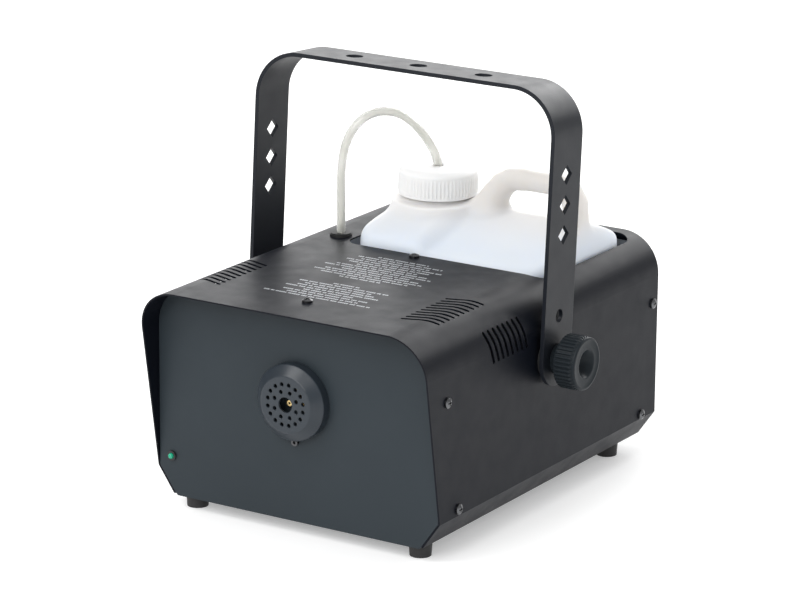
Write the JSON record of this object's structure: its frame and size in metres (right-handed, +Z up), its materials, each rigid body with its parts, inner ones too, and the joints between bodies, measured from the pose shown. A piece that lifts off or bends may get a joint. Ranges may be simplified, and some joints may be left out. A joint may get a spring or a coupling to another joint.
{
  "type": "fog machine",
  "caption": "Portable fog machine: black folded-steel housing, swinging hanging bracket with clamp knobs, lift-out fluid bottle with feed tube, perforated nozzle shroud, rear connector row.",
  "frame": {"origin": "middle of the footprint on the surface the feet stand on, below the bracket's pivot axis", "axes": "+Z up, front with the nozzle faces -Y, +X is the right-hand side seen from the front; the bracket pivots about X"},
  "size_m": [0.3046, 0.34, 0.3139],
  "materials": {
    "hood_paint": "matt black fine-texture powder coat",
    "bracket_paint": "satin black powder coat",
    "zinc_sheet": "galvanised sheet",
    "zinc_fastener": "bright zinc plated",
    "black_fastener": "black zinc plated",
    "rubber_black": "matt moulded rubber",
    "shroud_paint": "satin black turned metal",
    "brass_part": "turned brass",
    "copper_pipe": "drawn copper tube",
    "led_green": "clear green epoxy",
    "clear_tube": "clear flexible PVC",
    "bottle_plastic": "milky blow-moulded polythene",
    "cap_plastic": "white moulded polypropylene",
    "knob_plastic": "black glass-filled nylon",
    "cast_alloy": "as-cast aluminium",
    "insulation": "woven glass-fibre wrap",
    "ceramic_switch": "glazed switch body",
    "coil_plastic": "moulded coil housing",
    "board_green": "solder-masked circuit board",
    "component_black": "moulded components",
    "wire_sheath": "PVC sleeving",
    "fitting_black": "moulded panel fittings"
  },
  "bodies": {
    "housing": {"cover": "hood_paint", "chassis": "hood_paint", "rear_panel": "hood_paint", "bottle_well": "zinc_sheet", "feet": "rubber_black", "foot_screws": "zinc_fastener", "foot_nuts": "zinc_fastener", "side_screws": "black_fastener", "clip_nuts": "zinc_fastener", "roof_screws": "black_fastener", "nozzle_shroud": "shroud_paint", "panel_screw": "black_fastener", "fog_nozzle": "brass_part", "led_bezel": "fitting_black", "led_lens": "led_green", "tube_grommet": "rubber_black", "fluid_tube": "clear_tube", "friction_washers": "rubber_black", "pivot_nuts": "zinc_fastener", "heater_block": "cast_alloy", "heater_cartridges": "zinc_fastener", "heater_jacket": "insulation", "heater_brackets": "zinc_sheet", "thermostat": "ceramic_switch", "thermal_cutout": "ceramic_switch", "feed_pipe": "copper_pipe", "pump_coil": "coil_plastic", "pump_barrel": "brass_part", "pump_spring": "zinc_fastener", "pump_bracket": "zinc_sheet", "control_board": "board_green", "board_standoffs": "brass_part", "board_components": "component_black", "wiring_loom": "wire_sheath", "power_inlet": "fitting_black", "inlet_pins": "zinc_fastener", "inlet_screws": "black_fastener", "fuse_holder": "fitting_black", "remote_socket": "fitting_black", "switch_body": "fitting_black", "earth_stud": "brass_part"},
    "bracket": {"bracket": "bracket_paint"},
    "knob_right": {"knob_right": "knob_plastic", "stud_right": "zinc_fastener"},
    "knob_left": {"knob_left": "knob_plastic", "stud_left": "zinc_fastener"},
    "bottle": {"bottle": "bottle_plastic", "pickup_tube": "clear_tube", "pickup_filter": "cap_plastic"},
    "cap": {"bottle_cap": "cap_plastic", "cap_liner": "cap_plastic"},
    "plunger": {"pump_plunger": "zinc_fastener"},
    "fuse_cap": {"fuse_cap": "fitting_black"},
    "rocker": {"switch_rocker": "fitting_black"}
  },
  "joints": [
    {"name": "bracket_tilt", "type": "hinge", "parent": "housing", "child": "bracket", "pos_m": [0, 0, 0.116], "axis": [1, 0, 0], "range_deg": [-99, 105]},
    {"name": "knob_right_turn", "type": "hinge", "parent": "housing", "child": "knob_right", "pos_m": [0.14, 0, 0.116], "axis": [1, 0, 0], "range_deg": [0, 540]},
    {"name": "knob_left_turn", "type": "hinge", "parent": "housing", "child": "knob_left", "pos_m": [-0.14, 0, 0.116], "axis": [-1, 0, 0], "range_deg": [0, 540]},
    {"name": "bottle_lift", "type": "slide", "parent": "housing", "child": "bottle", "axis": [0, 0, 1], "range_m": [0, 0.11], "deforming": ["fluid_tube"]},
    {"name": "cap_turn", "type": "hinge", "parent": "bottle", "child": "cap", "pos_m": [-0.0245, 0.082, 0.21], "axis": [0, 0, 1], "range_deg": [0, 540]},
    {"name": "pump_stroke", "type": "slide", "parent": "housing", "child": "plunger", "axis": [0, 0, -1], "range_m": [0, 0.003], "stiffness_N_per_m": 500, "springref_m": -0.002, "deforming": ["pump_spring"]},
    {"name": "fuse_cap_turn", "type": "hinge", "parent": "housing", "child": "fuse_cap", "pos_m": [-0.022, 0.165, 0.035], "axis": [0, 1, 0], "range_deg": [0, 90]},
    {"name": "power_switch", "type": "hinge", "parent": "housing", "child": "rocker", "pos_m": [0.063, 0.158, 0.035], "axis": [1, 0, 0], "range_deg": [0, 18]}
  ]
}
